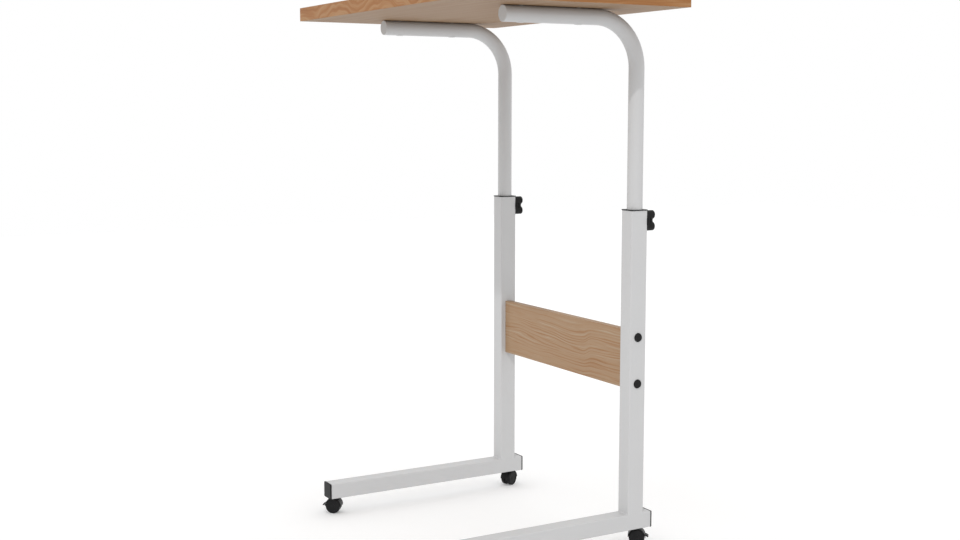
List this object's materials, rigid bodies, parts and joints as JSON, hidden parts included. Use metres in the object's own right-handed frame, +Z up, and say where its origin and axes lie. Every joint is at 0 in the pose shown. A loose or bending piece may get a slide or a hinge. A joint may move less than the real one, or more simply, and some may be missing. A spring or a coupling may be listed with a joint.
{
  "type": "overbed table",
  "caption": "C-shaped overbed table: wood-grain top on bent tubes that slide in two clamped columns, long feet, casters.",
  "frame": {"origin": "on the floor, under the middle of the table top", "axes": "+Z up; -Y the open side, where the feet go under the bed; +X to the right for someone facing the columns from the open side"},
  "size_m": [0.6, 0.4078, 0.899],
  "materials": {
    "white_steel": "satin white powder coat",
    "oak_laminate": "satin wood-grain laminate, light brown",
    "oak_edge": "wood-grain edge band, warm brown",
    "particle_board": "raw particle board, hidden",
    "black_plastic": "moulded, fine matte texture",
    "black_nylon": "moulded nylon, slight gloss",
    "white_plastic": "moulded, matte",
    "nylon": "natural nylon, hidden",
    "zinc_steel": "bright zinc plated"
  },
  "bodies": {
    "lower_frame": {"left_column": "white_steel", "left_foot": "white_steel", "left_front_foot_cap": "black_plastic", "left_rear_foot_cap": "black_plastic", "left_top_guide": "black_plastic", "left_clamp_boss": "white_steel", "right_column": "white_steel", "right_foot": "white_steel", "right_front_foot_cap": "black_plastic", "right_rear_foot_cap": "black_plastic", "right_top_guide": "black_plastic", "right_clamp_boss": "white_steel", "crossbar_panel": "oak_laminate", "crossbar_edge_bands": "oak_edge", "crossbar_screws": "zinc_steel", "screw_hole_caps": "black_plastic", "caster_nuts": "zinc_steel", "caster_stems": "zinc_steel"},
    "table_upper": {"left_bent_tube": "white_steel", "left_arm_plug": "white_plastic", "left_tube_glide": "black_plastic", "right_bent_tube": "white_steel", "right_arm_plug": "white_plastic", "right_tube_glide": "black_plastic", "top_board": "particle_board", "top_laminate": "oak_laminate", "underside_laminate": "oak_laminate", "long_edge_bands": "oak_edge", "short_edge_bands": "oak_edge", "top_screws": "zinc_steel", "top_inserts": "zinc_steel", "arm_hole_plugs": "white_plastic"},
    "left_clamp_pad": {"left_clamp_pad": "nylon"},
    "left_knob": {"left_knob_handle": "black_plastic", "left_clamp_stud": "zinc_steel"},
    "right_clamp_pad": {"right_clamp_pad": "nylon"},
    "right_knob": {"right_knob_handle": "black_plastic", "right_clamp_stud": "zinc_steel"},
    "front_left_caster": {"front_left_caster_hood": "black_nylon"},
    "front_left_wheels": {"front_left_caster_wheel_a": "black_nylon", "front_left_caster_wheel_b": "black_nylon", "front_left_caster_axle": "zinc_steel"},
    "front_left_brake": {"front_left_brake_lever": "black_nylon"},
    "front_right_caster": {"front_right_caster_hood": "black_nylon"},
    "front_right_wheels": {"front_right_caster_wheel_a": "black_nylon", "front_right_caster_wheel_b": "black_nylon", "front_right_caster_axle": "zinc_steel"},
    "front_right_brake": {"front_right_brake_lever": "black_nylon"},
    "rear_left_caster": {"rear_left_caster_hood": "black_nylon"},
    "rear_left_wheels": {"rear_left_caster_wheel_a": "black_nylon", "rear_left_caster_wheel_b": "black_nylon", "rear_left_caster_axle": "zinc_steel"},
    "rear_left_brake": {"rear_left_brake_lever": "black_nylon"},
    "rear_right_caster": {"rear_right_caster_hood": "black_nylon"},
    "rear_right_wheels": {"rear_right_caster_wheel_a": "black_nylon", "rear_right_caster_wheel_b": "black_nylon", "rear_right_caster_axle": "zinc_steel"},
    "rear_right_brake": {"rear_right_brake_lever": "black_nylon"}
  },
  "joints": [
    {"name": "height_slide", "type": "slide", "parent": "lower_frame", "child": "table_upper", "axis": [0, 0, 1], "range_m": [-0.088, 0.042]},
    {"name": "left_knob_turn", "type": "hinge", "parent": "left_clamp_pad", "child": "left_knob", "pos_m": [-0.2046, 0.1835, 0.541], "axis": [0, 1, 0], "range_deg": [0, 720]},
    {"name": "left_pad_slide", "type": "slide", "parent": "lower_frame", "child": "left_clamp_pad", "axis": [0, 1, 0], "range_m": [0, 0.0025]},
    {"name": "right_knob_turn", "type": "hinge", "parent": "right_clamp_pad", "child": "right_knob", "pos_m": [0.2046, 0.1835, 0.541], "axis": [0, 1, 0], "range_deg": [0, 720]},
    {"name": "right_pad_slide", "type": "slide", "parent": "lower_frame", "child": "right_clamp_pad", "axis": [0, 1, 0], "range_m": [0, 0.0025]},
    {"name": "front_left_swivel", "type": "hinge", "parent": "lower_frame", "child": "front_left_caster", "pos_m": [-0.2046, -0.184, 0.028], "axis": [0, 0, 1], "continuous": true},
    {"name": "front_left_roll", "type": "hinge", "parent": "front_left_caster", "child": "front_left_wheels", "pos_m": [-0.20719, -0.18743, 0.0132], "axis": [-0.7986, 0.6018, 0], "continuous": true},
    {"name": "front_left_brake_press", "type": "hinge", "parent": "front_left_caster", "child": "front_left_brake", "pos_m": [-0.212, -0.19382, 0.0178], "axis": [0.7986, -0.6018, 0], "range_deg": [0, 12]},
    {"name": "front_right_swivel", "type": "hinge", "parent": "lower_frame", "child": "front_right_caster", "pos_m": [0.2046, -0.184, 0.028], "axis": [0, 0, 1], "continuous": true},
    {"name": "front_right_roll", "type": "hinge", "parent": "front_right_caster", "child": "front_right_wheels", "pos_m": [0.2007, -0.18582, 0.0132], "axis": [-0.4226, 0.9063, 0], "continuous": true},
    {"name": "front_right_brake_press", "type": "hinge", "parent": "front_right_caster", "child": "front_right_brake", "pos_m": [0.19345, -0.1892, 0.0178], "axis": [0.4226, -0.9063, 0], "range_deg": [0, 12]},
    {"name": "rear_left_swivel", "type": "hinge", "parent": "lower_frame", "child": "rear_left_caster", "pos_m": [-0.2046, 0.176, 0.028], "axis": [0, 0, 1], "continuous": true},
    {"name": "rear_left_roll", "type": "hinge", "parent": "rear_left_caster", "child": "rear_left_wheels", "pos_m": [-0.20648, 0.17986, 0.0132], "axis": [0.8988, 0.4384, 0], "continuous": true},
    {"name": "rear_left_brake_press", "type": "hinge", "parent": "rear_left_caster", "child": "rear_left_brake", "pos_m": [-0.20999, 0.18706, 0.0178], "axis": [-0.8988, -0.4384, 0], "range_deg": [0, 12]},
    {"name": "rear_right_swivel", "type": "hinge", "parent": "lower_frame", "child": "rear_right_caster", "pos_m": [0.2046, 0.176, 0.028], "axis": [0, 0, 1], "continuous": true},
    {"name": "rear_right_roll", "type": "hinge", "parent": "rear_right_caster", "child": "rear_right_wheels", "pos_m": [0.20719, 0.17943, 0.0132], "axis": [0.7986, -0.6018, 0], "continuous": true},
    {"name": "rear_right_brake_press", "type": "hinge", "parent": "rear_right_caster", "child": "rear_right_brake", "pos_m": [0.212, 0.18582, 0.0178], "axis": [-0.7986, 0.6018, 0], "range_deg": [0, 12]}
  ],
  "couplings": [
    {"joint": "left_pad_slide", "follows": "left_knob_turn", "m_per_rad": 0.00019894},
    {"joint": "right_pad_slide", "follows": "right_knob_turn", "m_per_rad": 0.00019894}
  ]
}
